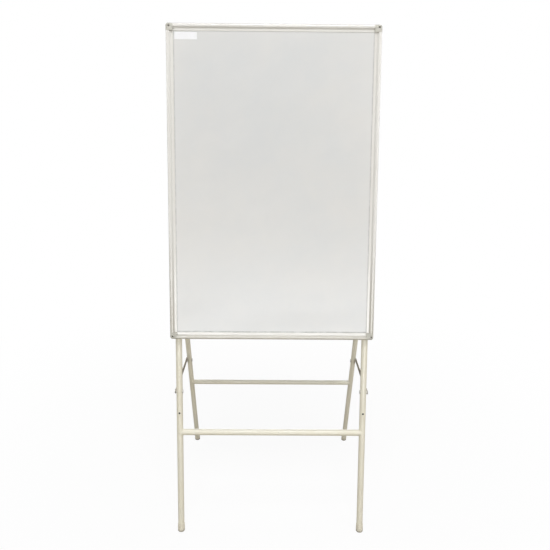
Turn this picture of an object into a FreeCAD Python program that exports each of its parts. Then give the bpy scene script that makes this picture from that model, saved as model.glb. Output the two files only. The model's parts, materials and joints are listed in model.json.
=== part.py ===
import FreeCAD, Part
import math
import os

# Magnetic whiteboard on a folding floor stand, in millimetres and degrees.
# Two leaning tubes carry the framed board. A frame of thinner tubes is hinged behind them,
# and a stay of two links on each side holds the stand open.
# +X is the viewer's right, +Y leads away from the viewer and +Z is up. The origin is on the
# floor, under the middle of the open stand. Left and right are the viewer's.

# Board panel
board_width = 604.0
board_height = 900.0
sheet_thickness = 0.5
core_thickness = 10.0
backing_thickness = 0.4
panel_clearance = 0.05
panel_edge_clearance = 0.4

# Frame rails, seen end on
rail_wall = 1.2
lip_wall = 1.3
lip_drop = 5.0
lip_width = 6.5
lip_edge_radius = 0.6
shoulder_width = 5.0
shoulder_foot_radius = 1.5
ridge_width = 9.0
ridge_radius = 5.5
ridge_edge_radius = 1.0
web_inset = 11.0
flange_width = 30.0

# Corner caps, with a hole each for hanging the board on a wall
cap_corner_radius = 7.0
cap_proud = 0.5
cap_seam_radius = 0.4
spigot_length = 24.0
spigot_clearance = 0.15
wall_hole_radius = 2.75
wall_hole_inset = 8.0
wall_hole_sink_radius = 4.0
wall_hole_sink_depth = 1.5

# Stand tubes; heights are measured along the leg from the floor
front_tube_radius = 9.5
front_tube_wall = 1.2
rear_tube_radius = 8.0
rear_tube_wall = 1.2
leg_inset = 22.0
front_lean = 13.5
rear_lean = 16.5
board_lift = 622.0
front_leg_drop = 25.0
front_crossbar_height = 323.0
rear_crossbar_height = 319.0
spare_hole_height = 386.0
spare_hole_radius = 3.0
seat_clearance = 0.05

# Feet and tube plugs
foot_wall = 1.0
foot_flare = 0.3
foot_sole = 5.0
front_foot_height = 24.0
rear_foot_height = 22.0
foot_rim_radius = 0.7
foot_sole_radius = 2.4
plug_clearance = 0.05
plug_stem_length = 10.0
plug_head_height = 2.5
plug_edge_radius = 1.5

# Screws that hold the board to the legs
screw_radius = 2.1
screw_clearance = 0.2
screw_head_radius = 4.2
screw_head_height = 2.6
screw_head_edge_radius = 1.4
screw_grip = 8.0
screw_point_length = 3.0
screw_edge_distance = 40.0
saddle_radius = 6.0
saddle_thickness = 1.5

# Pivot bolts and lock nuts
pivot_radius = 3.0
running_clearance = 0.05
moving_gap = 0.3
bolt_head_radius = 6.0
bolt_head_height = 3.0
bolt_head_edge_radius = 1.8
bolt_end_length = 1.5
nut_width = 10.0
nut_height = 4.5
nut_chamfer = 0.6
nut_collar_radius = 4.4
nut_collar_height = 1.5

# Hinge of the rear frame
hinge_height = 867.0
pivot_end = 9.0
pivot_plug_depth = 12.0
swing_clearance = 0.45
bracket_wall = 2.0
bracket_height = 46.0
bracket_bend_radius = 3.0
bracket_corner_radius = 3.0
ear_radius = 9.0
washer_radius = 6.0
washer_thickness = 0.8
rivet_radius = 2.4
rivet_head_radius = 4.0
rivet_head_height = 1.6
rivet_head_edge_radius = 1.2
rivet_tail_radius = 3.2
rivet_tail_length = 2.0
rivet_spacing = 30.0

# Folding stays; the heights of their pivots are measured along the legs from the floor
stay_front_height = 452.5
stay_rear_height = 429.0
link_gap = 0.4
link_thickness = 1.2
rear_link_width = 17.0
front_link_neck = 13.0
stop_reach = 48.0
stop_tab_length = 16.0
spacer_radius = 5.5
stay_rivet_radius = 3.5
stay_rivet_head_radius = 6.0
stay_rivet_head_height = 1.2
stay_rivet_head_edge_radius = 0.9
stay_rivet_tail_radius = 5.0
stay_rivet_sink = 0.7

# Low bolts of the stays and the sleeve nuts that they screw into
stay_bolt_head_radius = 6.0
stay_bolt_head_height = 1.1
stay_bolt_head_edge_radius = 0.8
stay_bolt_end_gap = 0.5
sleeve_radius = 4.0
sleeve_end_gap = 0.1
sleeve_floor = 0.5
sleeve_head_radius = 6.0
sleeve_head_height = 1.5
sleeve_head_edge_radius = 1.1

# How far cutters run past what they cut, and the shortest line that an outline keeps
overrun = 5.0
shortest_line = 1e-6

Vec = FreeCAD.Vector
Place = FreeCAD.Placement
Turn = FreeCAD.Rotation
along_x = Vec(1, 0, 0)
along_y = Vec(0, 1, 0)
along_z = Vec(0, 0, 1)
no_turn = Turn()
no_shift = Vec(0, 0, 0)

# Sizes that follow from the ones above
channel_depth = sheet_thickness + core_thickness + backing_thickness + 2 * panel_clearance
lip_top = rail_wall + channel_depth + lip_wall
rail_depth = lip_top + lip_drop
face_width = ridge_width + shoulder_width + lip_width
half_width = board_width / 2
half_height = board_height / 2
leg_x = half_width - leg_inset
board_back = front_tube_radius + seat_clearance
screw_heights = [board_lift + screw_edge_distance, board_lift + board_height - screw_edge_distance]
front_leg_top = board_lift + board_height - front_leg_drop
pivot_hole_radius = pivot_radius + running_clearance
ear_inner = rear_tube_radius + moving_gap + washer_thickness
ear_outer = ear_inner + bracket_wall
pivot_sweep = math.hypot(pivot_end + plug_head_height, rear_tube_radius)
web_back = board_back + bracket_wall
hinge_offset = web_back + pivot_sweep + swing_clearance

# Layers of a stay, measured outwards from the middle plane of its legs
rear_link_inner = front_tube_radius + link_gap
rear_link_outer = rear_link_inner + link_thickness
front_link_inner = rear_link_outer + moving_gap
front_link_outer = front_link_inner + link_thickness
front_link_width = rear_link_width + 2 * (moving_gap + link_thickness)


def foot_radius(tube_radius):
    """Outer radius of a foot at the floor."""
    return tube_radius + seat_clearance + foot_wall + foot_flare


def socket_floor(tube_radius, lean):
    """Height along the leg where the tube stands in its foot."""
    return foot_sole + foot_radius(tube_radius) * math.tan(math.radians(lean))


def lean_point(back, up):
    """Offsets to the back and up of a point that is given square to the front legs."""
    angle = math.radians(front_lean)
    return back * math.cos(angle) + up * math.sin(angle), up * math.cos(angle) - back * math.sin(angle)


# Side view of the open stand: floor points, hinge and stay pivots
front_cos = math.cos(math.radians(front_lean))
rear_cos = math.cos(math.radians(rear_lean))
rear_tan = math.tan(math.radians(rear_lean))
hinge_back, hinge_z = lean_point(hinge_offset, hinge_height)
rear_floor_back = hinge_back + hinge_z * rear_tan
front_reach = foot_radius(front_tube_radius) / front_cos
rear_reach = foot_radius(rear_tube_radius) / rear_cos
front_floor_y = (front_reach - rear_floor_back - rear_reach) / 2
hinge_y = front_floor_y + hinge_back
rear_leg_length = hinge_z / rear_cos
stay_front_drop = hinge_height - stay_front_height
stay_rear_drop = rear_leg_length - stay_rear_height
stay_back, stay_front_z = lean_point(0, stay_front_height)
stay_front_y = front_floor_y + stay_back
stay_rear_z = stay_rear_height * rear_cos
stay_rear_y = hinge_y + (hinge_z - stay_rear_z) * rear_tan
stay_length = math.hypot(stay_rear_y - stay_front_y, stay_rear_z - stay_front_z)
stay_tilt = math.degrees(math.atan2(stay_rear_z - stay_front_z, stay_rear_y - stay_front_y))

# The links differ as far as their pivots hang at different depths, so that they fold flat
front_link_length = (stay_length - stay_rear_drop + stay_front_drop) / 2

# Places of the front frame, the board on it and the rear frame
front_place = Place(Vec(0, front_floor_y, 0), Turn(along_x, -front_lean))
board_place = front_place * Place(Vec(0, -board_back, board_lift + half_height), no_turn)
rear_place = Place(Vec(0, hinge_y, hinge_z), Turn(along_x, rear_lean))
stay_place = Place(Vec(0, stay_front_y, stay_front_z), Turn(along_x, stay_tilt))

# Turns that lay shapes drawn along Z or in the XY plane
z_to_right = Turn(along_y, 90)
z_to_left = Turn(along_y, -90)
z_to_back = Turn(along_x, -90)
z_to_front = Turn(-along_x, -along_z, -along_y, "ZXY")
outline_facing_front = Turn(along_x, 90)
outline_across_rail = Turn(along_z, -along_y, along_x, "ZXY")
outline_up_rail = Turn(-along_x, -along_y, along_z, "ZXY")
outline_side_view = Turn(along_y, along_z, along_x, "ZXY")

nodes = {}


def rounded_face(corners):
    """Flat face in the XY plane through (x, y, radius) corners, each rounded by its radius."""
    bends = []
    for index, (x, y, radius) in enumerate(corners):
        corner = Vec(x, y, 0)
        before = corners[index - 1]
        after = corners[(index + 1) % len(corners)]
        back = (Vec(before[0], before[1], 0) - corner).normalize()
        ahead = (Vec(after[0], after[1], 0) - corner).normalize()
        half_angle = back.getAngle(ahead) / 2
        reach = radius / math.tan(half_angle)
        middle = corner + (back + ahead).normalize() * (radius / math.sin(half_angle) - radius)
        bends.append((corner + back * reach, middle, corner + ahead * reach, radius))
    edges = []
    for index, (start, middle, end, radius) in enumerate(bends):
        if radius > 0:
            edges.append(Part.Arc(start, middle, end).toShape())
        following = bends[(index + 1) % len(bends)][0]
        if end.distanceToPoint(following) > shortest_line:
            edges.append(Part.LineSegment(end, following).toShape())
    return Part.Face(Part.Wire(edges))


def prism(corners, height):
    """Rounded outline in the XY plane, extruded along Z."""
    return rounded_face(corners).extrude(along_z * height)


def turned(corners):
    """Rounded outline of (radius, height, rounding) corners, turned about Z."""
    outline = rounded_face(corners)
    outline.rotate(no_shift, along_x, 90)
    return outline.revolve(no_shift, along_z, 360)


def placed(shape, place):
    moved = shape.copy()
    moved.Placement = place * moved.Placement
    return moved


def laid(shape, turn, shift):
    return placed(shape, Place(shift, turn))


def hole(radius, length, turn, middle):
    """Round cutter of a length, centred on its middle."""
    cutter = Part.makeCylinder(radius, length, Vec(0, 0, -length / 2))
    return laid(cutter, turn, middle)


def mirrored(shape):
    return shape.mirror(no_shift, along_x)


def one_each_side(name, right):
    nodes[name + "_right"] = right
    nodes[name + "_left"] = mirrored(right)


def group_each_side(name, right_solids):
    left_solids = [mirrored(solid) for solid in right_solids]
    nodes[name] = Part.makeCompound(right_solids + left_solids)


def tube(radius, wall, low, high):
    """Round tube along Z."""
    length = high - low
    outer = Part.makeCylinder(radius, length, along_z * low)
    bore = Part.makeCylinder(radius - wall, length + 2 * overrun, along_z * (low - overrun))
    return outer.cut(bore)


def board_screw_holes(radius, front_end):
    """Cutters for the board's screws on the right, square to the legs."""
    length = 2 * front_end
    return [hole(radius, length, z_to_back, Vec(leg_x, 0, height)) for height in screw_heights]


# Board panel

def panel_plate(thickness, depth_behind):
    """One layer of the panel, with its back a given depth in front of the rails' backs."""
    reach_x = half_width - web_inset - panel_edge_clearance
    reach_z = half_height - web_inset - panel_edge_clearance
    corners = [(-reach_x, -reach_z, 0), (reach_x, -reach_z, 0), (reach_x, reach_z, 0), (-reach_x, reach_z, 0)]
    plate = laid(prism(corners, thickness), outline_facing_front, Vec(0, -depth_behind, 0))
    return placed(plate, board_place)


def build_panel():
    backing_at = rail_wall + panel_clearance
    core_at = backing_at + backing_thickness
    sheet_at = core_at + core_thickness
    screw_tip = board_back + core_at + screw_grip
    cutters = board_screw_holes(screw_radius + running_clearance, screw_tip + running_clearance)
    cutters = [placed(cutter, front_place) for cutter in cutters]
    cutters += [mirrored(cutter) for cutter in cutters]
    nodes["backing_sheet"] = panel_plate(backing_thickness, backing_at).cut(cutters)
    nodes["core_panel"] = panel_plate(core_thickness, core_at).cut(cutters)
    nodes["writing_sheet"] = panel_plate(sheet_thickness, sheet_at)


# Frame rails and corner caps

def rail_outline():
    """Section of a rail: distance in from the board's edge, height above its back, rounding."""
    channel_top = rail_wall + channel_depth
    return [
        (0, 0, 0),
        (flange_width, 0, 0),
        (flange_width, rail_wall, 0),
        (web_inset, rail_wall, 0),
        (web_inset, channel_top, 0),
        (face_width, channel_top, 0),
        (face_width, lip_top, lip_edge_radius),
        (ridge_width + shoulder_width, lip_top, shoulder_foot_radius),
        (ridge_width, rail_depth, ridge_edge_radius),
        (0, rail_depth, ridge_radius),
    ]


def chamber_outline(inset):
    """Hollow of a rail, or what fits into it, which is smaller by an inset all round."""
    near = rail_wall + inset
    far = web_inset - rail_wall - inset
    top = rail_depth - rail_wall - inset
    return [
        (near, near, 0),
        (far, near, 0),
        (far, lip_top - inset, 0),
        (ridge_width - rail_wall - inset, top, 0),
        (near, top, ridge_radius - rail_wall),
    ]


def rail(edge, run, turn):
    """A rail, drawn as the bottom one and turned about the board's middle.

    It stops square at the corner caps, and its flange is mitred.
    """
    half_run = run / 2
    start = Vec(-half_run, 0, -edge)
    bar = prism(rail_outline(), run).cut(prism(chamber_outline(0), run))
    bar = laid(bar, outline_across_rail, start)
    square_end = half_run - face_width
    mitre_end = half_run - flange_width
    kept = [
        (-square_end, -edge, 0),
        (square_end, -edge, 0),
        (square_end, face_width - edge, 0),
        (mitre_end, flange_width - edge, 0),
        (-mitre_end, flange_width - edge, 0),
        (-square_end, face_width - edge, 0),
    ]
    keeper = laid(prism(kept, rail_depth), outline_facing_front, no_shift)
    return placed(laid(bar.common(keeper), Turn(along_y, turn), no_shift), board_place)


def build_rails():
    cutters = board_screw_holes(screw_radius + running_clearance, board_back + rail_wall + panel_clearance)
    right = rail(half_width, board_height, -90).cut([placed(cutter, front_place) for cutter in cutters])
    nodes["right_rail"] = right
    nodes["left_rail"] = mirrored(right)
    nodes["top_rail"] = rail(half_height, board_width, 180)
    nodes["bottom_rail"] = rail(half_height, board_width, 0)


def is_on_seam(edge, inner_x, inner_z):
    """Whether a cap's edge lies on one of the two sides that meet the lips of the rails."""
    box = edge.BoundBox
    return box.XMax < inner_x + shortest_line or box.ZMin > inner_z - shortest_line


def corner_cap():
    """Bottom right corner cap in the board's own place."""
    depth = rail_depth + cap_proud
    inner_x = half_width - face_width
    inner_z = face_width - half_height
    outline = [
        (inner_x, -half_height, 0),
        (half_width, -half_height, cap_corner_radius),
        (half_width, inner_z, 0),
        (inner_x, inner_z, 0),
    ]
    cap = laid(prism(outline, depth), outline_facing_front, no_shift)
    front_level = ridge_radius / 2 - depth
    front_edges = [edge for edge in cap.Edges if edge.BoundBox.YMax < front_level]
    outer_edges = [edge for edge in front_edges if not is_on_seam(edge, inner_x, inner_z)]
    cap = cap.makeFillet(ridge_radius, outer_edges)
    front_edges = [edge for edge in cap.Edges if edge.BoundBox.YMax < front_level]
    seam_edges = [edge for edge in front_edges if is_on_seam(edge, inner_x, inner_z)]
    cap = cap.makeFillet(cap_seam_radius, seam_edges)
    pocket = [
        (inner_x - overrun, web_inset - half_height, 0),
        (half_width - web_inset, web_inset - half_height, 0),
        (half_width - web_inset, inner_z + overrun, 0),
        (inner_x - overrun, inner_z + overrun, 0),
    ]
    cap = cap.cut(laid(prism(pocket, channel_depth), outline_facing_front, Vec(0, -rail_wall, 0)))
    spigot = prism(chamber_outline(spigot_clearance), spigot_length)
    cap = cap.fuse(laid(spigot, outline_across_rail, Vec(inner_x - spigot_length, 0, -half_height)))
    cap = cap.fuse(laid(spigot, outline_up_rail, Vec(half_width, 0, inner_z)))
    sink_slope = (wall_hole_sink_radius - wall_hole_radius) / wall_hole_sink_depth
    wall_hole = turned([
        (0, -overrun, 0),
        (wall_hole_radius, -overrun, 0),
        (wall_hole_radius, depth - wall_hole_sink_depth, 0),
        (wall_hole_sink_radius + overrun * sink_slope, depth + overrun, 0),
        (0, depth + overrun, 0),
    ])
    # The cutter's seam faces the board's middle, clear of the cap's rounded edges
    hole_start = Vec(half_width - wall_hole_inset, 0, wall_hole_inset - half_height)
    return cap.cut(laid(wall_hole, z_to_front, hole_start))


def build_corner_caps():
    bottom = corner_cap()
    top = bottom.mirror(no_shift, along_z)
    one_each_side("corner_cap_bottom", placed(bottom, board_place))
    one_each_side("corner_cap_top", placed(top, board_place))


# Fasteners, all drawn along Z with the underside of the head at zero

def domed(head_radius, head_height, edge_radius, shank_radius, shank_length):
    """Round-headed bolt or rivet."""
    return turned([
        (0, head_height, 0),
        (0, -shank_length, 0),
        (shank_radius, -shank_length, 0),
        (shank_radius, 0, 0),
        (head_radius, 0, 0),
        (head_radius, head_height, edge_radius),
    ])


def lock_nut():
    """Hexagon nut with a chamfered seat and a round collar, seated at zero."""
    circle = nut_width / math.sqrt(3)
    angles = [math.radians(60 * side) for side in range(6)]
    hexagon = prism([(circle * math.cos(angle), circle * math.sin(angle), 0) for angle in angles], nut_height)
    chamfered = turned([
        (0, nut_height, 0),
        (0, 0, 0),
        (circle - nut_chamfer, 0, 0),
        (circle, nut_chamfer, 0),
        (circle, nut_height - nut_chamfer, 0),
        (circle - nut_chamfer, nut_height, 0),
    ])
    collar = Part.makeCylinder(nut_collar_radius, nut_height + nut_collar_height)
    bore = Part.makeCylinder(pivot_hole_radius, nut_height + nut_collar_height + overrun)
    return hexagon.common(chamfered).fuse(collar).cut(bore).removeSplitter()


def sleeve_nut(tube_radius):
    """Nut with a low head, whose sleeve goes through the tube and takes the bolt."""
    sleeve_length = tube_radius + math.sqrt(tube_radius ** 2 - sleeve_radius ** 2) - sleeve_end_gap
    return turned([
        (0, sleeve_head_height, 0),
        (0, -sleeve_floor, 0),
        (pivot_hole_radius, -sleeve_floor, 0),
        (pivot_hole_radius, -sleeve_length, 0),
        (sleeve_radius, -sleeve_length, 0),
        (sleeve_radius, 0, 0),
        (sleeve_head_radius, 0, 0),
        (sleeve_head_radius, sleeve_head_height, sleeve_head_edge_radius),
    ])


def hinge_bolt():
    length = 2 * ear_outer + nut_height + nut_collar_height + bolt_end_length
    return domed(bolt_head_radius, bolt_head_height, bolt_head_edge_radius, pivot_radius, length)


def stay_bolt(seat_outside, seat_inside):
    """Low-headed bolt that ends short of the floor of its sleeve nut."""
    length = seat_outside + seat_inside - sleeve_floor - stay_bolt_end_gap
    return domed(
        stay_bolt_head_radius, stay_bolt_head_height, stay_bolt_head_edge_radius, pivot_radius, length
    )


def saddle(radius, outer_face, tube_radius, hole_radius):
    """Round pad along Z that fits over a tube along Y and ends at an outer face."""
    pad = Part.makeCylinder(radius, outer_face)
    tube_space = hole(tube_radius + seat_clearance, 2 * (radius + overrun), z_to_back, no_shift)
    bolt_space = Part.makeCylinder(hole_radius, outer_face + overrun)
    return pad.cut([tube_space, bolt_space])


def sleeve_hole(tube_radius, middle):
    """Cutter through a tube on the right for the sleeve of a stay's nut."""
    return hole(sleeve_radius + running_clearance, 2 * (tube_radius + overrun), z_to_right, middle)


def saddle_on_back(pad):
    """Saddle drawn along Z over a tube along Y, laid on the back of a tube along Z."""
    return laid(pad, z_to_back, no_shift)


def saddle_on_right(pad):
    """Saddle drawn along Z over a tube along Y, laid on the right of a tube along Z."""
    return laid(pad, outline_side_view, no_shift)


# Front frame, built square in its own place: legs along Z, board to the front

def build_front_legs():
    """Two legs that are the same part, as each is even about its own middle."""
    leg = tube(front_tube_radius, front_tube_wall, socket_floor(front_tube_radius, front_lean), front_leg_top)
    leg = laid(leg, no_turn, along_x * leg_x)
    across = 2 * (front_tube_radius + overrun)
    cutters = board_screw_holes(screw_radius + screw_clearance, front_tube_radius + overrun)
    cutters.append(hole(spare_hole_radius, across, z_to_back, Vec(leg_x, 0, spare_hole_height)))
    cutters.append(sleeve_hole(front_tube_radius, Vec(leg_x, 0, stay_front_height)))
    for height in rivet_heights():
        rivet_hole = Part.makeCylinder(rivet_radius + running_clearance, front_tube_radius + overrun)
        cutters.append(laid(rivet_hole, z_to_back, Vec(leg_x, 0, height)))
    leg = placed(leg.cut(cutters), front_place)
    nodes["front_leg_right"] = leg
    nodes["front_leg_left"] = laid(leg, no_turn, along_x * (-2 * leg_x))


def crossbar(radius, wall, height):
    """Tube across the legs, with its ends coped to the legs' round sides."""
    bar = laid(tube(radius, wall, -leg_x, leg_x), z_to_right, along_z * height)
    leg_space = hole(radius + seat_clearance, 2 * (radius + overrun), no_turn, Vec(leg_x, 0, height))
    return bar.cut([leg_space, mirrored(leg_space)])


def foot(tube_radius, lean, height, place):
    """Moulded foot on a leg, with its sole cut flat to the floor."""
    base = foot_radius(tube_radius)
    rim = base - foot_flare
    socket = socket_floor(tube_radius, lean)
    bore = tube_radius + seat_clearance
    cup = turned([
        (0, -base, 0),
        (base, -base, 0),
        (base, 0, 0),
        (rim, height, foot_rim_radius),
        (bore, height, 0),
        (bore, socket, 0),
        (0, socket, 0),
    ])
    cup = placed(cup, place)
    below = 2 * base
    middle = place.Base
    ground = Part.makeBox(2 * below, 2 * below, below, Vec(middle.x - below, middle.y - below, -below))
    cup = cup.cut(ground)
    sole_edges = [edge for edge in cup.Edges if edge.BoundBox.ZMax < shortest_line]
    return cup.makeFillet(foot_sole_radius, sole_edges)


def leg_plug():
    """Plug for the upper end of a front leg, seated at zero."""
    stem = front_tube_radius - front_tube_wall - plug_clearance
    return turned([
        (0, plug_head_height, 0),
        (0, -plug_stem_length, 0),
        (stem, -plug_stem_length, 0),
        (stem, 0, 0),
        (front_tube_radius, 0, 0),
        (front_tube_radius, plug_head_height, plug_edge_radius),
    ])


def build_front_frame():
    build_front_legs()
    bar = crossbar(front_tube_radius, front_tube_wall, front_crossbar_height)
    nodes["front_crossbar"] = placed(bar, front_place)
    foot_place = front_place * Place(along_x * leg_x, no_turn)
    one_each_side("front_foot", foot(front_tube_radius, front_lean, front_foot_height, foot_place))
    plug = laid(leg_plug(), no_turn, Vec(leg_x, 0, front_leg_top))
    group_each_side("front_leg_plugs", [placed(plug, front_place)])


def board_screw():
    """Pan-headed pointed screw through a leg into the board."""
    head_seat = front_tube_radius + saddle_thickness
    length = head_seat + board_back + rail_wall + panel_clearance + backing_thickness + screw_grip
    return turned([
        (0, screw_head_height, 0),
        (0, -length, 0),
        (screw_radius, screw_point_length - length, 0),
        (screw_radius, 0, 0),
        (screw_head_radius, 0, 0),
        (screw_head_radius, screw_head_height, screw_head_edge_radius),
    ])


def build_board_screws():
    head_seat = front_tube_radius + saddle_thickness
    washer = saddle(saddle_radius, head_seat, front_tube_radius, screw_radius + screw_clearance)
    screws = []
    washers = []
    for height in screw_heights:
        screws.append(placed(laid(board_screw(), z_to_back, Vec(leg_x, head_seat, height)), front_place))
        washers.append(placed(laid(saddle_on_back(washer), no_turn, Vec(leg_x, 0, height)), front_place))
    group_each_side("board_screws", screws)
    group_each_side("saddle_washers", washers)


# Hinge of the rear frame

def rivet_heights():
    return [hinge_height - rivet_spacing / 2, hinge_height + rivet_spacing / 2]


def hinge_bracket():
    """Pressed clevis: a web on the back of the leg and two ears beside the rear tube."""
    ear_end = hinge_offset + ear_radius
    section = [
        (-ear_outer, ear_end, 0),
        (-ear_outer, board_back, bracket_bend_radius),
        (ear_outer, board_back, bracket_bend_radius),
        (ear_outer, ear_end, 0),
        (ear_inner, ear_end, 0),
        (ear_inner, web_back, bracket_bend_radius - bracket_wall),
        (-ear_inner, web_back, bracket_bend_radius - bracket_wall),
        (-ear_inner, ear_end, 0),
    ]
    half_web = bracket_height / 2
    side = [
        (board_back, -half_web, 0),
        (web_back + bracket_wall, -half_web, bracket_corner_radius),
        (ear_end, -ear_radius, ear_radius),
        (ear_end, ear_radius, ear_radius),
        (web_back + bracket_wall, half_web, bracket_corner_radius),
        (board_back, half_web, 0),
    ]
    channel = laid(prism(section, bracket_height), no_turn, along_z * -half_web)
    keeper = laid(prism(side, 2 * ear_outer), outline_side_view, along_x * -ear_outer)
    cutters = [hole(pivot_hole_radius, 2 * (ear_outer + overrun), z_to_right, along_y * hinge_offset)]
    for height in (-rivet_spacing / 2, rivet_spacing / 2):
        rivet_hole = Part.makeCylinder(rivet_radius + running_clearance, web_back + overrun)
        cutters.append(laid(rivet_hole, z_to_back, along_z * height))
    return channel.common(keeper).cut(cutters)


def bracket_rivet():
    """Blind rivet through the web and the tube's wall, with its tail spread inside the tube."""
    bore_radius = front_tube_radius - front_tube_wall
    bore_at_tail = math.sqrt(bore_radius ** 2 - rivet_tail_radius ** 2)
    wall_inside = bore_at_tail - seat_clearance - web_back
    return turned([
        (0, rivet_head_height, 0),
        (0, wall_inside - rivet_tail_length, 0),
        (rivet_tail_radius, wall_inside - rivet_tail_length, 0),
        (rivet_tail_radius, wall_inside, 0),
        (rivet_radius, wall_inside, 0),
        (rivet_radius, 0, 0),
        (rivet_head_radius, 0, 0),
        (rivet_head_radius, rivet_head_height, rivet_head_edge_radius),
    ])


def build_hinge():
    middle = Vec(leg_x, 0, hinge_height)
    pivot = Vec(leg_x, hinge_offset, hinge_height)
    one_each_side("hinge_bracket", placed(laid(hinge_bracket(), no_turn, middle), front_place))
    rivets = [laid(bracket_rivet(), z_to_back, Vec(leg_x, web_back, height)) for height in rivet_heights()]
    group_each_side("bracket_rivets", [placed(rivet, front_place) for rivet in rivets])
    bolt = laid(hinge_bolt(), z_to_right, pivot + along_x * ear_outer)
    nut = laid(lock_nut(), z_to_left, pivot - along_x * ear_outer)
    group_each_side("hinge_bolts", [placed(bolt, front_place)])
    group_each_side("hinge_nuts", [placed(nut, front_place)])
    disc = Part.makeCylinder(washer_radius, washer_thickness)
    washer = disc.cut(Part.makeCylinder(pivot_hole_radius, washer_thickness))
    inner_washer = laid(washer, z_to_right, pivot - along_x * ear_inner)
    outer_washer = laid(washer, z_to_left, pivot + along_x * ear_inner)
    group_each_side("hinge_washers", [placed(disc, front_place) for disc in (inner_washer, outer_washer)])


# Rear frame, built in its own place: hinge axis at zero, legs down along Z

def build_rear_frame():
    low = socket_floor(rear_tube_radius, rear_lean) - rear_leg_length
    leg = laid(tube(rear_tube_radius, rear_tube_wall, low, pivot_end), no_turn, along_x * leg_x)
    across = 2 * (rear_tube_radius + overrun)
    pivot_hole = hole(pivot_hole_radius, across, z_to_right, along_x * leg_x)
    stay_hole = sleeve_hole(rear_tube_radius, Vec(leg_x, 0, -stay_rear_drop))
    one_each_side("rear_leg", placed(leg.cut([pivot_hole, stay_hole]), rear_place))
    bar = crossbar(rear_tube_radius, rear_tube_wall, rear_crossbar_height - rear_leg_length)
    nodes["rear_crossbar"] = placed(bar, rear_place)
    foot_place = rear_place * Place(Vec(leg_x, 0, -rear_leg_length), no_turn)
    one_each_side("rear_foot", foot(rear_tube_radius, rear_lean, rear_foot_height, foot_place))
    stem = rear_tube_radius - rear_tube_wall - plug_clearance
    plug = turned([
        (0, pivot_end + plug_head_height, 0),
        (0, -pivot_plug_depth, 0),
        (stem, -pivot_plug_depth, 0),
        (stem, pivot_end, 0),
        (rear_tube_radius, pivot_end, 0),
        (rear_tube_radius, pivot_end + plug_head_height, plug_edge_radius),
    ])
    plug = laid(plug, no_turn, along_x * leg_x).cut(pivot_hole)
    group_each_side("pivot_plugs", [placed(plug, rear_place)])


# Stays

def build_stay_pivot(end, tube_radius, link_inner, middle, place):
    """Spacer, bolt and sleeve nut that hold one end of each stay to its legs."""
    pad = saddle(spacer_radius, link_inner - moving_gap, tube_radius, pivot_hole_radius)
    seat_outside = link_inner + link_thickness + moving_gap
    bolt = laid(stay_bolt(seat_outside, tube_radius), z_to_right, middle + along_x * seat_outside)
    nut = laid(sleeve_nut(tube_radius), z_to_left, middle - along_x * tube_radius)
    spacer = laid(saddle_on_right(pad), no_turn, middle)
    group_each_side("stay_" + end + "_bolts", [placed(bolt, place)])
    group_each_side("stay_" + end + "_nuts", [placed(nut, place)])
    group_each_side("stay_" + end + "_spacers", [placed(spacer, place)])


def link(start, end, width, inner_face):
    """Flat bar with round ends, from one distance along the stay to another."""
    half = width / 2
    outline = [
        (start - half, -half, half),
        (end + half, -half, half),
        (end + half, half, half),
        (start - half, half, half),
    ]
    return laid(prism(outline, link_thickness), outline_side_view, along_x * (leg_x + inner_face))


def front_link():
    """Link that runs on past the middle rivet, with a bent tab that stops on the rear link."""
    reach = front_link_length + stop_reach
    neck = link(0, front_link_length, front_link_neck, front_link_inner)
    paddle = link(front_link_length, reach, front_link_width, front_link_inner)
    tab_start = Vec(leg_x + rear_link_inner, reach - stop_tab_length, front_link_width / 2 - link_thickness)
    tab = Part.makeBox(front_link_outer - rear_link_inner, stop_tab_length, link_thickness, tab_start)
    return neck.fuse([paddle, tab]).removeSplitter()


def rivet_tail(clearance):
    """Flush tail of a middle rivet: a cone that opens towards the legs, then the shank."""
    return turned([
        (0, link_thickness, 0),
        (0, 0, 0),
        (stay_rivet_tail_radius + clearance, 0, 0),
        (stay_rivet_radius + clearance, stay_rivet_sink, 0),
        (stay_rivet_radius + clearance, link_thickness, 0),
    ])


def build_stays():
    front_pivot = Vec(leg_x, 0, stay_front_height)
    rear_pivot = Vec(leg_x, 0, -stay_rear_drop)
    build_stay_pivot("front", front_tube_radius, front_link_inner, front_pivot, front_place)
    build_stay_pivot("rear", rear_tube_radius, rear_link_inner, rear_pivot, rear_place)
    through = 2 * (front_link_outer + overrun)
    middle = Vec(leg_x, front_link_length, 0)
    front_hole = hole(pivot_hole_radius, through, z_to_right, along_x * leg_x)
    rear_hole = hole(pivot_hole_radius, through, z_to_right, Vec(leg_x, stay_length, 0))
    rivet_hole = hole(stay_rivet_radius + running_clearance, through, z_to_right, middle)
    one_each_side("stay_front_link", placed(front_link().cut([front_hole, rivet_hole]), stay_place))
    rear_link = link(front_link_length, stay_length, rear_link_width, rear_link_inner)
    tail_seat = middle + along_x * rear_link_inner
    tail_space = laid(rivet_tail(running_clearance), z_to_right, tail_seat)
    one_each_side("stay_rear_link", placed(rear_link.cut([rear_hole, tail_space]), stay_place))
    rivet = domed(
        stay_rivet_head_radius,
        stay_rivet_head_height,
        stay_rivet_head_edge_radius,
        stay_rivet_radius,
        link_thickness,
    )
    rivet = laid(rivet, z_to_right, middle + along_x * front_link_outer)
    one_each_side("stay_rivet", placed(rivet, stay_place))
    tail = laid(rivet_tail(0), z_to_right, tail_seat)
    one_each_side("stay_rivet_tail", placed(tail, stay_place))


def export_nodes():
    os.makedirs("parts", exist_ok=True)
    for name, shape in nodes.items():
        shape.exportStep("parts/" + name + ".step")


build_panel()
build_rails()
build_corner_caps()
build_front_frame()
build_board_screws()
build_hinge()
build_rear_frame()
build_stays()
export_nodes()

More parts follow.
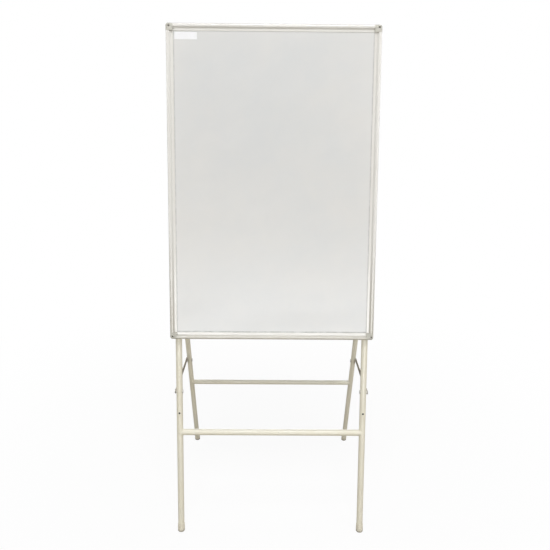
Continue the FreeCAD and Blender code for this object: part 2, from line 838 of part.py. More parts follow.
print("hinge pivot, side view:", round(hinge_y, 4), round(hinge_z, 4))
print("front stay pivot:", round(stay_front_y, 4), round(stay_front_z, 4))
print("rear stay pivot:", round(stay_rear_y, 4), round(stay_rear_z, 4))
print("stay and front link lengths:", round(stay_length, 4), round(front_link_length, 4))
rear_floor_y = front_floor_y + rear_floor_back
print("legs meet the floor, front and rear:", round(front_floor_y, 4), round(rear_floor_y, 4))
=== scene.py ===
import json
import math

import bmesh
import bpy
from mathutils import Matrix, Vector


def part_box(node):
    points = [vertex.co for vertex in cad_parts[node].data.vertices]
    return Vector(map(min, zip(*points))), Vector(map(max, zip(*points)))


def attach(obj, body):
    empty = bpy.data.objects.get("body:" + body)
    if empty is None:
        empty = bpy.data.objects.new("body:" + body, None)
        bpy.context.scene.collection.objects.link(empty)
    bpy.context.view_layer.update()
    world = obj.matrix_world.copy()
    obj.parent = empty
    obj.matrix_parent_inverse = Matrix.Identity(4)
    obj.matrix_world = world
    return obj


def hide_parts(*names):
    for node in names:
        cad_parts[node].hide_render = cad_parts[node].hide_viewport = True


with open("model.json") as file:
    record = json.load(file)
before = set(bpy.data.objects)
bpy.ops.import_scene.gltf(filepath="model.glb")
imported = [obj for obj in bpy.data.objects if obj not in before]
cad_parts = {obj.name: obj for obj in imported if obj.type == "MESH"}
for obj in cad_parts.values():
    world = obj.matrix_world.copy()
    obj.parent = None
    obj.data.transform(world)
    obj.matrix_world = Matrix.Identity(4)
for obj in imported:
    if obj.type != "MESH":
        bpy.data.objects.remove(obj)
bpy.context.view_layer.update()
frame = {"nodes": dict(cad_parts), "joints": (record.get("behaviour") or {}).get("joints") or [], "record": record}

# Whiteboard on a folding floor stand, in metres. +X is the viewer's right, +Y leads away from
# the viewer and +Z is up.
record = frame["record"]
nodes = frame["nodes"]
mounts = {mount["name"]: mount for mount in record["mounts"]}
joints = {joint["name"]: joint for joint in frame["joints"]}
right = Vector((1, 0, 0))
sides = {"left": -1, "right": 1}
millimetre = 0.001

# Directions of the board and of the two frames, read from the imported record
board_front = Vector(mounts["left_spare_hole"]["axis"])
board_up = right.cross(-board_front)
hinge = Vector(joints["rear_fold"]["pos_m"])
rear_sole = Vector(mounts["rear_right_sole"]["pos_m"])
leg_x = rear_sole.x
rear_up = (hinge - Vector((0, rear_sole.y, 0))).normalized()
rear_front = rear_up.cross(right)
board_lean = math.atan2(board_up.y, board_up.z)
rear_lean = math.atan2(rear_up.y, rear_up.z)

# Camera, as the photograph was taken
camera_place = Vector((-0.0062, -1.8276, 1.4944))
camera_pitch = math.radians(21.587)
camera_yaw = math.radians(0.462)
camera_roll = math.radians(0.545)
camera_lens = 42.144


# Shader helpers

def feed(tree, socket, value):
    """Links a socket to another, or sets its constant."""
    if isinstance(value, bpy.types.NodeSocket):
        tree.links.new(value, socket)
    else:
        socket.default_value = value


def add(tree, kind, inputs=None, **settings):
    """A new node with its settings and inputs."""
    node = tree.nodes.new(kind)
    for name, value in settings.items():
        setattr(node, name, value)
    for name, value in (inputs or {}).items():
        feed(tree, node.inputs[name], value)
    return node


def blend_colour(tree, factor, low, high, blend_type="MIX"):
    """Colour between two, by a factor."""
    node = add(tree, "ShaderNodeMix", data_type="RGBA", blend_type=blend_type)
    colours = [socket for socket in node.inputs if socket.type == "RGBA"]
    feed(tree, node.inputs["Factor"], factor)
    feed(tree, colours[0], low)
    feed(tree, colours[1], high)
    return [socket for socket in node.outputs if socket.type == "RGBA"][0]


def ramp(tree, value, low, high, start=0.0, end=1.0):
    """Value carried smoothly from the range low..high to start..end."""
    inputs = {"Value": value, "From Min": low, "From Max": high, "To Min": start, "To Max": end}
    return add(tree, "ShaderNodeMapRange", inputs, interpolation_type="SMOOTHSTEP").outputs["Result"]


def math_node(tree, operation, first, second=0.0):
    node = add(tree, "ShaderNodeMath", operation=operation)
    feed(tree, node.inputs[0], first)
    feed(tree, node.inputs[1], second)
    return node.outputs["Value"]


def blend_value(tree, first, second, second_share):
    """Value between two, by the share of the second."""
    first_part = math_node(tree, "MULTIPLY", first, 1 - second_share)
    second_part = math_node(tree, "MULTIPLY", second, second_share)
    return math_node(tree, "ADD", first_part, second_part)


def noise(tree, vector, scale, detail=2.0, roughness=0.5):
    inputs = {"Vector": vector, "Scale": scale, "Detail": detail, "Roughness": roughness}
    return add(tree, "ShaderNodeTexNoise", inputs).outputs["Fac"]


def object_coordinates(tree, turn=(0, 0, 0), stretch=(1, 1, 1)):
    """Object coordinates, turned to a piece's own directions and then stretched."""
    place = add(tree, "ShaderNodeTexCoord").outputs["Object"]
    turned = add(tree, "ShaderNodeMapping", {"Vector": place, "Rotation": turn}).outputs["Vector"]
    return add(tree, "ShaderNodeMapping", {"Vector": turned, "Scale": stretch}).outputs["Vector"]


def new_group(name, inputs, outputs):
    """Shader node group with named sockets; returns its tree, input sockets and output node."""
    tree = bpy.data.node_groups.new(name, "ShaderNodeTree")
    for socket, (kind, default) in inputs.items():
        made = tree.interface.new_socket(socket, in_out="INPUT", socket_type="NodeSocket" + kind)
        if default is not None:
            made.default_value = default
    for socket, kind in outputs.items():
        tree.interface.new_socket(socket, in_out="OUTPUT", socket_type="NodeSocket" + kind)
    return tree, tree.nodes.new("NodeGroupInput").outputs, tree.nodes.new("NodeGroupOutput")


def use_group(tree, group, inputs):
    node = add(tree, "ShaderNodeGroup", node_tree=group)
    for name, value in inputs.items():
        feed(tree, node.inputs[name], value)
    return node.outputs


def new_material(name, inputs):
    """Node material; returns it with its tree and shader, whose constant sockets are set."""
    material = bpy.data.materials.new(name)
    material.use_nodes = True
    shader = material.node_tree.nodes["Principled BSDF"]
    for socket, value in inputs.items():
        shader.inputs[socket].default_value = value
    return material, material.node_tree, shader


def finish_material(tree, shader, colour, roughness, height, bump_distance, bump_strength=1.0):
    """Links what varies over the surface to the shader."""
    bump_inputs = {"Height": height, "Distance": bump_distance, "Strength": bump_strength}
    bump = add(tree, "ShaderNodeBump", bump_inputs)
    feed(tree, shader.inputs["Base Color"], colour)
    feed(tree, shader.inputs["Roughness"], roughness)
    feed(tree, shader.inputs["Normal"], bump.outputs["Normal"])


# Shared surface effects

def make_drift_group():
    """Slow change of tone across a surface, in clouds of two sizes."""
    fine_per_broad, fine_share = 7.0, 0.3
    inputs = {"Vector": ("Vector", None), "Colour": ("Color", None), "Drift Colour": ("Color", None)}
    inputs |= {"Cloud Scale": ("Float", 5.0), "Share": ("Float", 0.5)}
    tree, given, result = new_group("tone_drift", inputs, {"Colour": "Color", "Mask": "Float"})
    broad = ramp(tree, noise(tree, given["Vector"], given["Cloud Scale"], 3.0), 0.35, 0.65)
    fine_scale = math_node(tree, "MULTIPLY", given["Cloud Scale"], fine_per_broad)
    fine = ramp(tree, noise(tree, given["Vector"], fine_scale, 4.0, 0.6), 0.3, 0.7)
    mask = blend_value(tree, broad, fine, fine_share)
    share = math_node(tree, "MULTIPLY", mask, given["Share"])
    feed(tree, result.inputs["Colour"], blend_colour(tree, share, given["Colour"], given["Drift Colour"]))
    feed(tree, result.inputs["Mask"], mask)
    return tree


def make_scratch_group():
    """Hairline scratches that follow the vector's long direction, in patches."""
    patch_fade = 0.1
    inputs = {"Vector": ("Vector", None), "Scale": ("Float", 60.0), "Width": ("Float", 0.012)}
    inputs |= {"Patch Vector": ("Vector", None), "Patch Scale": ("Float", 9.0)}
    inputs |= {"Patch Level": ("Float", 0.55)}
    tree, given, result = new_group("hairline_scratches", inputs, {"Mask": "Float"})
    lines = noise(tree, given["Vector"], given["Scale"], 1.0)
    off_line = math_node(tree, "ABSOLUTE", math_node(tree, "SUBTRACT", lines, 0.5))
    line = ramp(tree, off_line, 0.0, given["Width"], 1.0, 0.0)
    patch_noise = noise(tree, given["Patch Vector"], given["Patch Scale"], 2.0)
    patch_end = math_node(tree, "ADD", given["Patch Level"], patch_fade)
    patch = ramp(tree, patch_noise, given["Patch Level"], patch_end)
    feed(tree, result.inputs["Mask"], math_node(tree, "MULTIPLY", line, patch))
    return tree


def make_chip_group():
    """Small ragged chips in a coat, a few cells of a scattered pattern."""
    rag_scale, rag_reach, full_depth_share = 420.0, 0.006, 0.75
    inputs = {"Vector": ("Vector", None), "Scale": ("Float", 40.0)}
    inputs |= {"Size": ("Float", 0.18), "Share": ("Float", 0.1)}
    tree, given, result = new_group("coat_chips", inputs, {"Mask": "Float"})
    rag = add(tree, "ShaderNodeTexNoise", {"Vector": given["Vector"], "Scale": rag_scale, "Detail": 2.0})
    offset = add(tree, "ShaderNodeVectorMath", operation="SCALE")
    feed(tree, offset.inputs[0], rag.outputs["Color"])
    offset.inputs["Scale"].default_value = rag_reach
    moved = add(tree, "ShaderNodeVectorMath", operation="ADD")
    feed(tree, moved.inputs[0], given["Vector"])
    feed(tree, moved.inputs[1], offset.outputs["Vector"])
    cells = add(tree, "ShaderNodeTexVoronoi", {"Vector": moved.outputs["Vector"], "Scale": given["Scale"]})
    draw = add(tree, "ShaderNodeSeparateColor", {"Color": cells.outputs["Color"]}).outputs["Red"]
    chosen = math_node(tree, "LESS_THAN", draw, given["Share"])
    edge = math_node(tree, "MULTIPLY", given["Size"], full_depth_share)
    spot = ramp(tree, cells.outputs["Distance"], edge, given["Size"], 1.0, 0.0)
    feed(tree, result.inputs["Mask"], math_node(tree, "MULTIPLY", spot, chosen))
    return tree


def make_crease_shade_and_dirt_group():
    """Painted shade and grime in corners and under edges, where ambient occlusion finds them, broken up by noise;
    on the plated steel it is rust.
    """
    inputs = {"Vector": ("Vector", None), "Colour": ("Color", None), "Crease Colour": ("Color", None)}
    inputs |= {"Reach": ("Float", 0.008), "Share": ("Float", 0.5)}
    tree, given, result = new_group("crease_shade_and_dirt", inputs, {"Colour": "Color", "Mask": "Float"})
    open_sky = add(tree, "ShaderNodeAmbientOcclusion", {"Distance": given["Reach"]}, samples=8).outputs["AO"]
    crease = ramp(tree, open_sky, 0.35, 0.85, 1.0, 0.0)
    broken = ramp(tree, noise(tree, given["Vector"], 90.0, 4.0, 0.65), 0.25, 0.7, 0.35, 1.0)
    mask = math_node(tree, "MULTIPLY", math_node(tree, "MULTIPLY", crease, broken), given["Share"])
    feed(tree, result.inputs["Colour"], blend_colour(tree, mask, given["Colour"], given["Crease Colour"]))
    feed(tree, result.inputs["Mask"], mask)
    return tree


tone_drift = make_drift_group()
hairline_scratches = make_scratch_group()
coat_chips = make_chip_group()
crease_shade_and_dirt = make_crease_shade_and_dirt_group()


# Finishes

def reach(node, direction):
    """How far a CAD node reaches in a direction from the origin."""
    return max(direction.dot(vertex.co) for vertex in nodes[node].data.vertices)


def lip_edge(rail, inward):
    """How far in a rail's lip reaches over the face of the writing sheet."""
    face = reach("writing_sheet", board_front)
    corners = [vertex.co for vertex in nodes[rail].data.vertices]
    return max(inward.dot(corner) for corner in corners if board_front.dot(corner) > face)


def lip_shadow_line(tree, flat):
    """Painted shadow line along the inner edges of the lips, darkest along the lower one."""
    full_width, faded_width = 0.001, 0.004
    bottom_full_width, bottom_faded_width = 0.002, 0.005
    side_share, top_share, bottom_share = 0.5, 0.15, 0.8
    spot = add(tree, "ShaderNodeSeparateXYZ", {"Vector": flat}).outputs
    from_middle = math_node(tree, "ABSOLUTE", spot["X"])
    from_sides = math_node(tree, "SUBTRACT", -lip_edge("left_rail", right), from_middle)
    from_bottom = math_node(tree, "SUBTRACT", spot["Z"], lip_edge("bottom_rail", board_up))
    from_top = math_node(tree, "SUBTRACT", -lip_edge("top_rail", -board_up), spot["Z"])
    side_lip_shadow = ramp(tree, from_sides, full_width, faded_width, side_share, 0.0)
    bottom_lip_shadow = ramp(tree, from_bottom, bottom_full_width, bottom_faded_width, bottom_share, 0.0)
    top_lip_shadow = ramp(tree, from_top, full_width, faded_width, top_share, 0.0)
    upper_lip_shadow = math_node(tree, "MAXIMUM", side_lip_shadow, top_lip_shadow)
    lip_shadow = math_node(tree, "MAXIMUM", upper_lip_shadow, bottom_lip_shadow)
    broken = ramp(tree, noise(tree, flat, 70.0, 3.0), 0.3, 0.65, 0.45, 1.0)
    return math_node(tree, "MULTIPLY", lip_shadow, broken)


def white_enamel():
    """Satin enamel of the writing sheet, with faint wiped smears and a painted shadow line along its frame."""
    material, tree, shader = new_material("white_enamel", {"IOR": 1.5, "Specular IOR Level": 1.0})
    flat = object_coordinates(tree, turn=(board_lean, 0, 0))
    wipe_angle, wipe_stretch = math.radians(24), 4.0
    wiped = object_coordinates(tree, turn=(board_lean, wipe_angle, 0), stretch=(1.0, 1.0, wipe_stretch))
    clouds = use_group(tree, tone_drift, {
        "Vector": flat,
        "Colour": (0.625, 0.633, 0.63, 1),
        "Drift Colour": (0.675, 0.667, 0.645, 1),
        "Cloud Scale": 2.2,
        "Share": 1.0,
    })
    smear = ramp(tree, noise(tree, wiped, 7.0, 4.0, 0.55), 0.42, 0.72)
    smear_share = math_node(tree, "MULTIPLY", smear, 0.12)
    smeared = blend_colour(tree, smear_share, clouds["Colour"], (0.68, 0.685, 0.685, 1))
    lip_shadow = lip_shadow_line(tree, flat)
    # Painted shadow: a dark grey line laid along the lips.
    shaded = blend_colour(tree, lip_shadow, smeared, (0.30, 0.30, 0.285, 1))
    roughness = ramp(tree, math_node(tree, "MAXIMUM", smear, lip_shadow), 0.0, 1.0, 0.28, 0.34)
    waves = noise(tree, flat, 7.0, 1.0)
    finish_material(tree, shader, shaded, roughness, waves, 0.0006)
    return material


def lower_end_shade(tree):
    """Mask of painted shade on the lower end of the frame, on the ridges and shoulders that stand clear of the
    lips.
    """
    end_length, end_share = 0.32, 0.75
    shoulder_foot, shoulder_top = 0.0018, 0.0036
    upright = object_coordinates(tree, turn=(board_lean, 0, 0))
    spot = add(tree, "ShaderNodeSeparateXYZ", {"Vector": upright}).outputs
    lower_end = -reach("bottom_rail", -board_up)
    low = ramp(tree, spot["Z"], lower_end, lower_end + end_length, end_share, 0.0)
    face = -reach("writing_sheet", board_front)
    clear = ramp(tree, spot["Y"], face - shoulder_top, face - shoulder_foot, 1.0, 0.0)
    return math_node(tree, "MULTIPLY", low, clear)


def rail_coat(name, turn, stretch):
    """Cream stove enamel on drawn aluminium, with faint lines along the rail, painted shade and grime in its
    creases, and painted shade on its lower end.
    """
    material, tree, shader = new_material(name, {"IOR": 1.5, "Specular IOR Level": 1.0})
    along = object_coordinates(tree, turn=turn, stretch=stretch)
    flat = object_coordinates(tree)
    tone = use_group(tree, tone_drift, {
        "Vector": flat,
        "Colour": (0.73, 0.717, 0.68, 1),
        "Drift Colour": (0.69, 0.673, 0.63, 1),
        "Cloud Scale": 8.0,
        "Share": 0.6,
    })
    scratch = use_group(tree, hairline_scratches, {
        "Vector": along, "Scale": 110.0, "Width": 0.01, "Patch Vector": flat, "Patch Level": 0.6,
    })["Mask"]
    scratch_share = math_node(tree, "MULTIPLY", scratch, 0.4)
    scratched = blend_colour(tree, scratch_share, tone["Colour"], (0.55, 0.53, 0.48, 1))
    # Painted shade: ridges and shoulders darker towards the lower end of the frame.
    shaded = blend_colour(tree, lower_end_shade(tree), scratched, (0.50, 0.475, 0.405, 1))
    # Painted shade and grime where ambient occlusion finds creases in the rail.
    shade_and_dirt = use_group(tree, crease_shade_and_dirt, {
        "Vector": flat,
        "Colour": shaded,
        "Crease Colour": (0.36, 0.345, 0.30, 1),
        "Reach": 0.007,
        "Share": 0.75,
    })
    drawn = noise(tree, along, 500.0, 2.0)
    peel = noise(tree, flat, 700.0, 2.0)
    peel_share = 0.4
    height = blend_value(tree, drawn, peel, peel_share)
    roughness = ramp(tree, tone["Mask"], 0.0, 1.0, 0.17, 0.27)
    finish_material(tree, shader, shade_and_dirt["Colour"], roughness, height, 0.00006)
    return material


def shaded_bare_bore(tree):
    """Mask of the insides of the front legs, which the coat doesn't reach; they are painted near-black, as bare
    steel and painted shade.
    """
    tube_wall, bare_share, coated_share = 0.0012, 0.8, 0.4
    hole = mounts["left_spare_hole"]
    outer_radius = hole["dims"]["length_mm"] * millimetre / 2
    bare_radius = outer_radius - tube_wall * bare_share
    coated_radius = outer_radius - tube_wall * coated_share
    upright = object_coordinates(tree, turn=(board_lean, 0, 0))
    spot = add(tree, "ShaderNodeSeparateXYZ", {"Vector": upright}).outputs
    across = math_node(tree, "SUBTRACT", math_node(tree, "ABSOLUTE", spot["X"]), leg_x)
    back = math_node(tree, "ADD", spot["Y"], board_front.dot(Vector(hole["pos_m"])))
    across_squared = math_node(tree, "MULTIPLY", across, across)
    back_squared = math_node(tree, "MULTIPLY", back, back)
    radius = math_node(tree, "SQRT", math_node(tree, "ADD", across_squared, back_squared))
    return ramp(tree, radius, bare_radius, coated_radius, 1.0, 0.0)


def leg_paint():
    """Cream powder coat on steel tube: fine peel, scuffs along the tube, a few chips, and painted shade with grime
    in its creases and under the board.
    """
    material, tree, shader = new_material("leg_paint", {"IOR": 1.5, "Specular IOR Level": 1.0})
    flat = object_coordinates(tree)
    along = object_coordinates(tree, stretch=(1.0, 1.0, 0.06))
    tone = use_group(tree, tone_drift, {
        "Vector": flat,
        "Colour": (0.825, 0.795, 0.675, 1),
        "Drift Colour": (0.78, 0.735, 0.592, 1),
        "Cloud Scale": 10.0,
        "Share": 0.7,
    })
    scuff = use_group(tree, hairline_scratches, {
        "Vector": along, "Scale": 160.0, "Width": 0.02, "Patch Vector": flat, "Patch Level": 0.58,
    })["Mask"]
    scuff_share = math_node(tree, "MULTIPLY", scuff, 0.35)
    scuffed = blend_colour(tree, scuff_share, tone["Colour"], (0.45, 0.42, 0.35, 1))
    chip = use_group(tree, coat_chips, {"Vector": flat, "Scale": 80.0, "Size": 0.09, "Share": 0.04})["Mask"]
    chipped = blend_colour(tree, chip, scuffed, (0.34, 0.32, 0.28, 1))
    # Painted shade and grime where ambient occlusion finds creases, such as under the board and at the crossbars.
    shade_and_dirt = use_group(tree, crease_shade_and_dirt, {
        "Vector": flat,
        "Colour": chipped,
        "Crease Colour": (0.36, 0.32, 0.24, 1),
        "Reach": 0.012,
        "Share": 0.45,
    })
    peel = noise(tree, flat, 620.0, 2.0)
    height = math_node(tree, "SUBTRACT", peel, math_node(tree, "MULTIPLY", chip, 2.0))
    roughness = ramp(tree, tone["Mask"], 0.0, 1.0, 0.28, 0.4)
    # Near-black bore: bare steel and painted shade inside the tube.
    colour = blend_colour(tree, shaded_bare_bore(tree), shade_and_dirt["Colour"], (0.055, 0.045, 0.035, 1))
    finish_material(tree, shader, colour, roughness, height, 0.00008)
    return material


def moulded_plastic(name, colour, drift_colour, shade_and_dirt_colour, shade_and_dirt_share, sole_scuff_and_shade=0.0):
    """Moulded plastic with a fine spark texture, painted shade and grime in its corners, and scuffs with painted
    shade along the sole.
    """
    scuff_start, scuff_end, scuff_rag = -0.001, 0.007, 0.006
    material, tree, shader = new_material(name, {"IOR": 1.49})
    flat = object_coordinates(tree)
    tone = use_group(tree, tone_drift, {
        "Vector": flat, "Colour": colour, "Drift Colour": drift_colour, "Cloud Scale": 30.0, "Share": 0.6,
    })
    # Painted shade and grime where ambient occlusion finds corners.
    shade_and_dirt = use_group(tree, crease_shade_and_dirt, {
        "Vector": flat,
        "Colour": tone["Colour"],
        "Crease Colour": shade_and_dirt_colour,
        "Reach": 0.006,
        "Share": shade_and_dirt_share,
    })
    # Darker band just above the floor: scuffs, and painted shade on the rounded sole edge.
    above_floor = add(tree, "ShaderNodeSeparateXYZ", {"Vector": flat}).outputs["Z"]
    rag = math_node(tree, "MULTIPLY", noise(tree, flat, 260.0, 3.0), scuff_rag)
    ragged_height = math_node(tree, "SUBTRACT", above_floor, rag)
    scuff = ramp(tree, ragged_height, scuff_start, scuff_end, sole_scuff_and_shade, 0.0)
    scuffed = blend_colour(tree, scuff, shade_and_dirt["Colour"], shade_and_dirt_colour)
    grain = noise(tree, flat, 1500.0, 3.0, 0.6)
    roughness = ramp(tree, tone["Mask"], 0.0, 1.0, 0.42, 0.6)
    finish_material(tree, shader, scuffed, roughness, grain, 0.00006)
    return material


def plated_steel(name, colour, drift_colour, rust_colour, rust_share, brushing):
    """Plated steel: cloudy plating, fine brushing and a little rust in the corners."""
    material, tree, shader = new_material(name, {"Metallic": 0.85})
    flat = object_coordinates(tree)
    along = object_coordinates(tree, stretch=brushing)
    tone = use_group(tree, tone_drift, {
        "Vector": flat, "Colour": colour, "Drift Colour": drift_colour, "Cloud Scale": 45.0, "Share": 0.8,
    })
    rust = use_group(tree, crease_shade_and_dirt, {
        "Vector": flat,
        "Colour": tone["Colour"],
        "Crease Colour": rust_colour,
        "Reach": 0.005,
        "Share": rust_share,
    })
    lines = noise(tree, along, 900.0, 2.0)
    roughness = ramp(tree, lines, 0.2, 0.8, 0.3, 0.48)
    finish_material(tree, shader, rust["Colour"], roughness, lines, 0.00003)
    return material


def backing_steel():
    """Galvanised sheet: spangles of a few millimetres, each with its own brightness."""
    material, tree, shader = new_material("backing_steel", {"Metallic": 0.75})
    flat = object_coordinates(tree)
    bend = noise(tree, flat, 60.0, 2.0)
    cells = add(tree, "ShaderNodeTexVoronoi", {"Vector": flat, "Scale": 150.0})
    spangle = add(tree, "ShaderNodeSeparateColor", {"Color": cells.outputs["Color"]}).outputs["Red"]
    bend_share = 0.2
    mixed = blend_value(tree, spangle, bend, bend_share)
    colour = blend_colour(tree, mixed, (0.60, 0.61, 0.615, 1), (0.70, 0.705, 0.71, 1))
    dulled = use_group(tree, tone_drift, {
        "Vector": flat,
        "Colour": colour,
        "Drift Colour": (0.62, 0.61, 0.585, 1),
        "Cloud Scale": 4.0,
        "Share": 0.35,
    })
    roughness = ramp(tree, spangle, 0.0, 1.0, 0.42, 0.54)
    finish_material(tree, shader, dulled["Colour"], roughness, spangle, 0.00002)
    return material


def core_board():
    """Pressed fibreboard, brown with short fibres."""
    material, tree, shader = new_material("core_board", {"IOR": 1.45})
    flat = object_coordinates(tree)
    fibres = noise(tree, object_coordinates(tree, stretch=(0.25, 1.0, 1.0)), 700.0, 4.0, 0.7)
    colour = blend_colour(tree, ramp(tree, fibres, 0.3, 0.7), (0.40, 0.28, 0.16, 1), (0.55, 0.42, 0.27, 1))
    tone = use_group(tree, tone_drift, {
        "Vector": flat,
        "Colour": colour,
        "Drift Colour": (0.5, 0.36, 0.22, 1),
        "Cloud Scale": 12.0,
        "Share": 0.4,
    })
    roughness = ramp(tree, fibres, 0.2, 0.8, 0.75, 0.95)
    finish_material(tree, shader, tone["Colour"], roughness, fibres, 0.0002)
    return material


def label_paper():
    """Blank glossy paper of the label."""
    material, tree, shader = new_material("label_paper", {"IOR": 1.5})
    flat = object_coordinates(tree)
    tone = use_group(tree, tone_drift, {
        "Vector": flat,
        "Colour": (0.86, 0.865, 0.885, 1),
        "Drift Colour": (0.80, 0.80, 0.80, 1),
        "Cloud Scale": 40.0,
        "Share": 0.5,
    })
    fibres = noise(tree, flat, 900.0, 3.0)
    roughness = ramp(tree, tone["Mask"], 0.0, 1.0, 0.28, 0.4)
    finish_material(tree, shader, tone["Colour"], roughness, fibres, 0.00002)
    return material


line_stretch = 0.02
rail_across = rail_coat("rail_coat_across", turn=(0, 0, 0), stretch=(line_stretch, 1.0, 1.0))
rail_upright = rail_coat("rail_coat_upright", turn=(board_lean, 0, 0), stretch=(1.0, 1.0, line_stretch))
paint = leg_paint()
finishes = {
    "white_enamel": white_enamel(),
    "core_board": core_board(),
    "backing_steel": backing_steel(),
    "rail_coat": rail_across,
    "cap_plastic": moulded_plastic(
        "cap_plastic",
        colour=(0.54, 0.53, 0.475, 1),
        drift_colour=(0.49, 0.475, 0.42, 1),
        shade_and_dirt_colour=(0.2, 0.18, 0.14, 1),
        shade_and_dirt_share=0.6,
    ),
    "leg_paint": paint,
    "foot_plastic": moulded_plastic(
        "foot_plastic",
        colour=(0.79, 0.75, 0.63, 1),
        drift_colour=(0.72, 0.675, 0.55, 1),
        shade_and_dirt_colour=(0.24, 0.225, 0.19, 1),
        shade_and_dirt_share=0.8,
        sole_scuff_and_shade=0.75,
    ),
    "nylon": moulded_plastic(
        "nylon",
        colour=(0.74, 0.73, 0.68, 1),
        drift_colour=(0.66, 0.64, 0.57, 1),
        shade_and_dirt_colour=(0.3, 0.27, 0.21, 1),
        shade_and_dirt_share=0.4,
    ),
    "zinc_steel": plated_steel(
        "zinc_steel",
        colour=(0.62, 0.62, 0.61, 1),
        drift_colour=(0.52, 0.51, 0.47, 1),
        rust_colour=(0.24, 0.15, 0.08, 1),
        rust_share=0.4,
        brushing=(1.0, 1.0, 0.1),
    ),
    "stay_steel": plated_steel(
        "stay_steel",
        colour=(0.30, 0.275, 0.235, 1),
        drift_colour=(0.24, 0.215, 0.18, 1),
        rust_colour=(0.16, 0.09, 0.05, 1),
        rust_share=0.6,
        brushing=(1.0, 0.05, 1.0),
    ),
}

for part in record["subparts"]:
    mesh = nodes[part["node"]].data
    mesh.materials.clear()
    mesh.materials.append(finishes[part["material_slot"]])
for upright in ("left_rail", "right_rail"):
    nodes[upright].data.materials[0] = rail_upright


# Pieces that the solids leave out

def add_piece(name, data, material, body):
    """Shows a mesh or a curve as a piece that moves with a body."""
    data.materials.append(material)
    piece = bpy.data.objects.new(name, data)
    bpy.context.scene.collection.objects.link(piece)
    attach(piece, body)
    return piece


def make_label():
    """Blank sticker in the upper left corner of the writing sheet."""
    width, height, thickness = 0.063, 0.0195, 0.00015
    from_left, from_top = 0.024, 0.0237
    corner_radius = 0.0015
    across = from_left + width / 2 - reach("left_rail", -right)
    up = reach("top_rail", board_up) - from_top - height / 2
    out = reach("writing_sheet", board_front) + thickness / 2
    turn = Matrix((right, board_up, board_front)).transposed().to_4x4()
    place = Matrix.Translation(right * across + board_up * up + board_front * out) @ turn
    made = bmesh.new()
    bmesh.ops.create_cube(made, size=1.0, matrix=Matrix.Diagonal((width, height, thickness, 1)))
    corners = [edge for edge in made.edges if edge.calc_length() < height / 2]
    bmesh.ops.bevel(
        made, geom=corners, offset=corner_radius, segments=6, profile=0.5, affect="EDGES", material=-1
    )
    bmesh.ops.transform(made, matrix=place, verts=made.verts)
    mesh = bpy.data.meshes.new("label")
    made.to_mesh(mesh)
    made.free()
    add_piece("label", mesh, label_paper(), "front_frame")


def make_weld(name, bar, up, side, body):
    """Bead along the seam where a crossbar is coped to a leg of the same radius."""
    bead_radius = 0.0014
    steps, ripples, ripple_share = 96, 30, 0.16
    low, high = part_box(bar)
    middle = (low + high) / 2
    radius = (high.z - low.z) / 2
    back = up.cross(right)
    path = bpy.data.curves.new(name, "CURVE")
    path.dimensions = "3D"
    path.bevel_depth = bead_radius
    path.bevel_resolution = 2
    seam = path.splines.new("POLY")
    seam.points.add(steps - 1)
    seam.use_cyclic_u = True
    for step, point in enumerate(seam.points):
        angle = 2 * math.pi * step / steps
        across = leg_x - radius * abs(math.sin(angle))
        spot = middle + right * side * across + radius * (up * math.sin(angle) + back * math.cos(angle))
        point.co = (*spot, 1)
        point.radius = 1 + ripple_share * math.sin(ripples * angle)
    add_piece(name, path, paint, body)


def make_board_screws():
    """The screws that hold the board, with a cross recess cut into each head."""
    recess_length, recess_width, recess_depth = 0.0046, 0.0011, 0.0014
    merge_distance = 0.000001
    made = bmesh.new()
    made.from_mesh(nodes["board_screws"].data)
    bmesh.ops.remove_doubles(made, verts=made.verts, dist=merge_distance)
    mesh = bpy.data.meshes.new("cross_head_screws")
    made.to_mesh(mesh)
    made.free()
    screws = add_piece("cross_head_screws", mesh, finishes["zinc_steel"], "front_frame")
    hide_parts("board_screws")

    spots = [Vector((right.dot(v.co), board_up.dot(v.co), board_front.dot(v.co))) for v in mesh.vertices]
    middle_up = sum(spot.y for spot in spots) / len(spots)
    to_board = Matrix((right, board_up, board_front)).transposed().to_4x4()
    bar = Matrix.Diagonal((recess_length, recess_width, 2 * recess_depth, 1))
    cutter = bmesh.new()
    for side in sides.values():
        for half in (-1, 1):
            own = [spot for spot in spots if spot.x * side > 0 and (spot.y - middle_up) * half > 0]
            low, high = [Vector([end(axis) for axis in zip(*own)]) for end in (min, max)]
            crown = Vector(((low.x + high.x) / 2, (low.y + high.y) / 2, low.z))
            for turn in (math.pi / 4, -math.pi / 4):
                place = to_board @ Matrix.Translation(crown) @ Matrix.Rotation(turn, 4, "Z") @ bar
                bmesh.ops.create_cube(cutter, size=1.0, matrix=place)
    cross_mesh = bpy.data.meshes.new("recess_crosses")
    cutter.to_mesh(cross_mesh)
    cutter.free()
    crosses = bpy.data.objects.new("recess_crosses", cross_mesh)
    bpy.context.scene.collection.objects.link(crosses)
    recess = screws.modifiers.new("recess", "BOOLEAN")
    recess.object = crosses
    recess.solver = "EXACT"
    recess.use_self = True
    screws.data = bpy.data.meshes.new_from_object(screws.evaluated_get(bpy.context.evaluated_depsgraph_get()))
    screws.modifiers.clear()
    bpy.data.objects.remove(crosses)


make_label()
make_board_screws()
for side_name, side in sides.items():
    make_weld("front_weld_" + side_name, "front_crossbar", board_up, side, "front_frame")
    make_weld("rear_weld_" + side_name, "rear_crossbar", rear_up, side, "rear_frame")


# Floor, light and camera

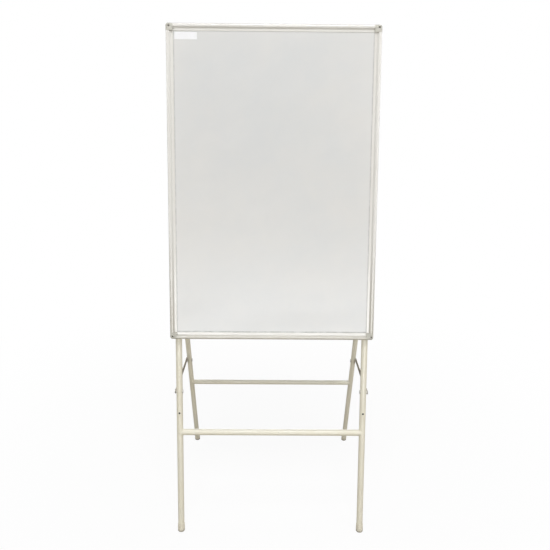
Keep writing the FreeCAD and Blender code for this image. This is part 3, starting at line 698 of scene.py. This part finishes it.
def make_floor():
    """Floor that is white to the camera, with a soft shadow, and brown in the light it throws back."""
    floor_half = 12.0
    bounce_colour, shown_colour = (0.42, 0.38, 0.31, 1), (0.95, 0.95, 0.95, 1)
    shadow_reach, white_reach, near_white_share = 0.3, 1.7, 0.92
    made = bmesh.new()
    bmesh.ops.create_grid(made, x_segments=1, y_segments=1, size=floor_half)
    mesh = bpy.data.meshes.new("floor")
    made.to_mesh(mesh)
    made.free()
    floor = bpy.data.objects.new("floor", mesh)
    bpy.context.scene.collection.objects.link(floor)
    material = bpy.data.materials.new("floor_white")
    material.use_nodes = True
    tree = material.node_tree
    tree.nodes.clear()
    direct = add(tree, "ShaderNodeLightPath").outputs["Is Camera Ray"]
    colour = blend_colour(tree, direct, bounce_colour, shown_colour)
    lit = add(tree, "ShaderNodeBsdfDiffuse", {"Color": colour})
    glow = add(tree, "ShaderNodeEmission", {"Color": (1, 1, 1, 1), "Strength": 1.0})
    place = add(tree, "ShaderNodeTexCoord").outputs["Object"]
    distance = add(tree, "ShaderNodeVectorMath", {0: place}, operation="LENGTH").outputs["Value"]
    white_share = ramp(tree, distance, shadow_reach, white_reach, near_white_share, 1.0)
    share = math_node(tree, "MULTIPLY", direct, white_share)
    mixed = add(tree, "ShaderNodeMixShader")
    feed(tree, mixed.inputs[0], share)
    feed(tree, mixed.inputs[1], lit.outputs[0])
    feed(tree, mixed.inputs[2], glow.outputs[0])
    add(tree, "ShaderNodeOutputMaterial", {"Surface": mixed.outputs[0]})
    mesh.materials.append(material)


def seen_directly(tree):
    """1 for rays from the camera and for mirrored or refracted ones, which show the backdrop."""
    path = add(tree, "ShaderNodeLightPath").outputs
    mirrored = math_node(tree, "MAXIMUM", path["Is Glossy Ray"], path["Is Transmission Ray"])
    return math_node(tree, "MAXIMUM", path["Is Camera Ray"], mirrored)


def make_world():
    """White backdrop and an even fill of light."""
    world = bpy.data.worlds.new("studio")
    world.use_nodes = True
    tree = world.node_tree
    background = tree.nodes["Background"]
    background.inputs["Color"].default_value = (1, 1, 1, 1)
    fill_strength = 0.02
    strength = ramp(tree, seen_directly(tree), 0.0, 1.0, fill_strength, 1.0)
    feed(tree, background.inputs["Strength"], strength)
    bpy.context.scene.world = world


def make_lamp(name, place, aim, width, height, power):
    """Soft lamp in the form of a panel."""
    light = bpy.data.lights.new(name, "AREA")
    light.shape = "RECTANGLE"
    light.size = width
    light.size_y = height
    light.energy = power
    lamp = bpy.data.objects.new(name, light)
    lamp.location = place
    lamp.visible_camera = False
    lamp.rotation_mode = "QUATERNION"
    lamp.rotation_quaternion = (Vector(aim) - Vector(place)).to_track_quat("-Z", "Y")
    bpy.context.scene.collection.objects.link(lamp)


def make_camera():
    data = bpy.data.cameras.new("camera")
    data.lens = camera_lens
    camera = bpy.data.objects.new("camera", data)
    turn = Matrix.Rotation(-camera_yaw, 4, "Z")
    turn @= Matrix.Rotation(math.pi / 2 - camera_pitch, 4, "X")
    turn @= Matrix.Rotation(camera_roll, 4, "Z")
    camera.matrix_world = Matrix.Translation(camera_place) @ turn
    bpy.context.scene.collection.objects.link(camera)
    bpy.context.scene.camera = camera


make_floor()
make_world()
board_middle, legs_middle = (0, 0, 0.9), (0, 0, 0.6)
make_lamp("top_panel", (0.0, -1.3, 4.2), aim=board_middle, width=1.6, height=1.2, power=70.0)
make_lamp("front_panel", (0.0, -4.2, 0.6), aim=legs_middle, width=3.2, height=1.2, power=46.0)
make_lamp("left_panel", (-2.6, -2.2, 2.0), aim=board_middle, width=2.0, height=2.6, power=29.0)
make_lamp("right_panel", (2.6, -2.2, 2.0), aim=board_middle, width=2.0, height=2.6, power=43.0)
make_lamp("left_edge_panel", (-3.2, 0.8, 1.4), aim=board_middle, width=1.6, height=2.0, power=20.0)
make_lamp("right_edge_panel", (3.2, 0.8, 1.4), aim=board_middle, width=1.6, height=2.0, power=22.0)
make_lamp("back_panel", (0.0, 4.0, 1.1), aim=board_middle, width=3.2, height=2.0, power=75.0)
make_camera()
bpy.context.scene.view_settings.view_transform = "Standard"
